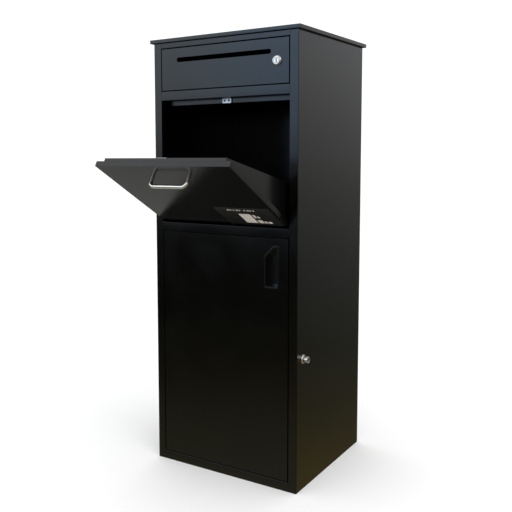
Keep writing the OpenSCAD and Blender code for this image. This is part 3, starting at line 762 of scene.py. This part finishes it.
class DROPBOX_OT_stage(bpy.types.Operator):
    """Lay the floor, hang the lights and set the camera"""

    bl_idname = "dropbox.stage"
    bl_label = "Stage"

    def execute(self, context):
        stage = context.scene.dropbox_stage
        if stage.show_floor:
            self.floor(stage.floor_size)
        context.scene.view_settings.view_transform = "Standard"
        self.sky(context.scene)
        self.soft_light("Key_Light", stage.key_power, **KEY_LIGHT)
        self.soft_light("Fill_Light", stage.fill_power, **FILL_LIGHT)
        self.camera(context.scene, stage.camera_lens)
        return {"FINISHED"}

    @staticmethod
    def floor(size):
        """Pale floor, left out of reflections so that the black coat stays dark"""
        edit = bmesh.new()
        bmesh.ops.create_grid(edit, x_segments=8, y_segments=8, size=size / 2)
        mesh = bpy.data.meshes.new("Studio_Floor")
        edit.to_mesh(mesh)
        edit.free()
        mesh.materials.append(studio_floor())
        floor = bpy.data.objects.new("Studio_Floor", mesh)
        floor.visible_glossy = False
        bpy.context.scene.collection.objects.link(floor)

    @staticmethod
    def sky(scene):
        """White backdrop, and a room that only reflections show: bright, then dark, then a warm floor"""
        world = bpy.data.worlds.new("Studio")
        scene.world = world
        world.use_nodes = True
        tree = world.node_tree
        tree.nodes.clear()
        output = tree.nodes.new("ShaderNodeOutputWorld")
        coordinates = tree.nodes.new("ShaderNodeTexCoord")
        split = tree.nodes.new("ShaderNodeSeparateXYZ")
        tree.links.new(coordinates.outputs["Generated"], split.inputs["Vector"])
        left = tone_by(tree, split.outputs["Z"], -ROOM_SLOPE, ROOM_SLOPE, LEFT_ROOM)
        right = tone_by(tree, split.outputs["Z"], -ROOM_SLOPE, ROOM_SLOPE, RIGHT_ROOM)
        tint = tone_by(tree, split.outputs["X"], -0.7, 0.0, WINDOW_TINT)
        tinted = tree.nodes.new("ShaderNodeMix")
        tinted.data_type = "RGBA"
        tinted.blend_type = "MULTIPLY"
        share = tone_by(tree, split.outputs["Z"], -ROOM_SLOPE, ROOM_SLOPE, TINT_SHARE)
        tree.links.new(share, tinted.inputs["Factor"])
        tree.links.new(left, tinted.inputs["A"])
        tree.links.new(tint, tinted.inputs["B"])
        side = tree.nodes.new("ShaderNodeMapRange")
        side.interpolation_type = "SMOOTHSTEP"
        side.inputs["From Min"].default_value = -0.25
        side.inputs["From Max"].default_value = 0.35
        tree.links.new(split.outputs["X"], side.inputs["Value"])
        room_tone = tree.nodes.new("ShaderNodeMix")
        room_tone.data_type = "RGBA"
        tree.links.new(side.outputs["Result"], room_tone.inputs["Factor"])
        tree.links.new(tinted.outputs["Result"], room_tone.inputs["A"])
        tree.links.new(right, room_tone.inputs["B"])
        room = tree.nodes.new("ShaderNodeBackground")
        tree.links.new(room_tone.outputs["Result"], room.inputs["Color"])
        backdrop = tree.nodes.new("ShaderNodeBackground")
        backdrop.inputs["Color"].default_value = (1, 1, 1, 1)
        backdrop.inputs["Strength"].default_value = 1.12
        rays = tree.nodes.new("ShaderNodeLightPath")
        mix = tree.nodes.new("ShaderNodeMixShader")
        tree.links.new(rays.outputs["Is Glossy Ray"], mix.inputs["Fac"])
        tree.links.new(backdrop.outputs["Background"], mix.inputs[1])
        tree.links.new(room.outputs["Background"], mix.inputs[2])
        tree.links.new(mix.outputs["Shader"], output.inputs["Surface"])

    @staticmethod
    def soft_light(name, power, place, target, size, color):
        """A large rectangular light aimed at a point"""
        data = bpy.data.lights.new(name, "AREA")
        data.shape = "RECTANGLE"
        data.size, data.size_y = size
        data.energy = power
        data.color = color
        light = bpy.data.objects.new(name, data)
        light.location = place
        aim = Vector(target) - Vector(place)
        light.rotation_euler = aim.to_track_quat("-Z", "Y").to_euler()
        bpy.context.scene.collection.objects.link(light)

    @staticmethod
    def camera(scene, lens):
        """Camera a little above half height, to the right of the front"""
        data = bpy.data.cameras.new("Camera")
        data.lens = lens
        data.sensor_width = 36
        data.shift_x, data.shift_y = CAMERA_SHIFT
        camera = bpy.data.objects.new("Camera", data)
        heading, pitch, roll = (math.radians(a) for a in CAMERA_TURN)
        look = Matrix.Rotation(heading, 4, "Z") @ Matrix.Rotation(math.pi / 2 + pitch, 4, "X")
        look = look @ Matrix.Rotation(roll, 4, "Z")
        camera.matrix_world = Matrix.Translation(CAMERA_PLACE) @ look
        scene.collection.objects.link(camera)
        scene.camera = camera


class DROPBOX_PT_panel(bpy.types.Panel):
    """Lists the build steps and settings of the drop box"""

    bl_idname = "DROPBOX_PT_panel"
    bl_label = "Drop Box"
    bl_space_type = "VIEW_3D"
    bl_region_type = "UI"
    bl_category = "Drop Box"

    def draw(self, context):
        for step in STEPS:
            self.layout.operator(step.bl_idname)
        for group in (
            context.scene.dropbox_finish, context.scene.dropbox_detail, context.scene.dropbox_stage
        ):
            box = self.layout.box()
            for name in group.__annotations__:
                box.prop(group, name)


# ---------------------------------------------------------------- running


STEPS = (
    DROPBOX_OT_finishes,
    DROPBOX_OT_folded_edges,
    DROPBOX_OT_pull_handle,
    DROPBOX_OT_locks,
    DROPBOX_OT_label,
    DROPBOX_OT_rivets,
    DROPBOX_OT_stage,
)
CLASSES = (FinishSettings, DetailSettings, StageSettings, *STEPS, DROPBOX_PT_panel)


def register():
    for cls in CLASSES:
        bpy.utils.register_class(cls)
    bpy.types.Scene.dropbox_finish = PointerProperty(type=FinishSettings)
    bpy.types.Scene.dropbox_detail = PointerProperty(type=DetailSettings)
    bpy.types.Scene.dropbox_stage = PointerProperty(type=StageSettings)


def unregister():
    del bpy.types.Scene.dropbox_stage
    del bpy.types.Scene.dropbox_detail
    del bpy.types.Scene.dropbox_finish
    for cls in reversed(CLASSES):
        bpy.utils.unregister_class(cls)


def main():
    register()
    for step in STEPS:
        group, name = step.bl_idname.split(".")
        getattr(getattr(bpy.ops, group), name)()


if __name__ == "__main__":
    main()
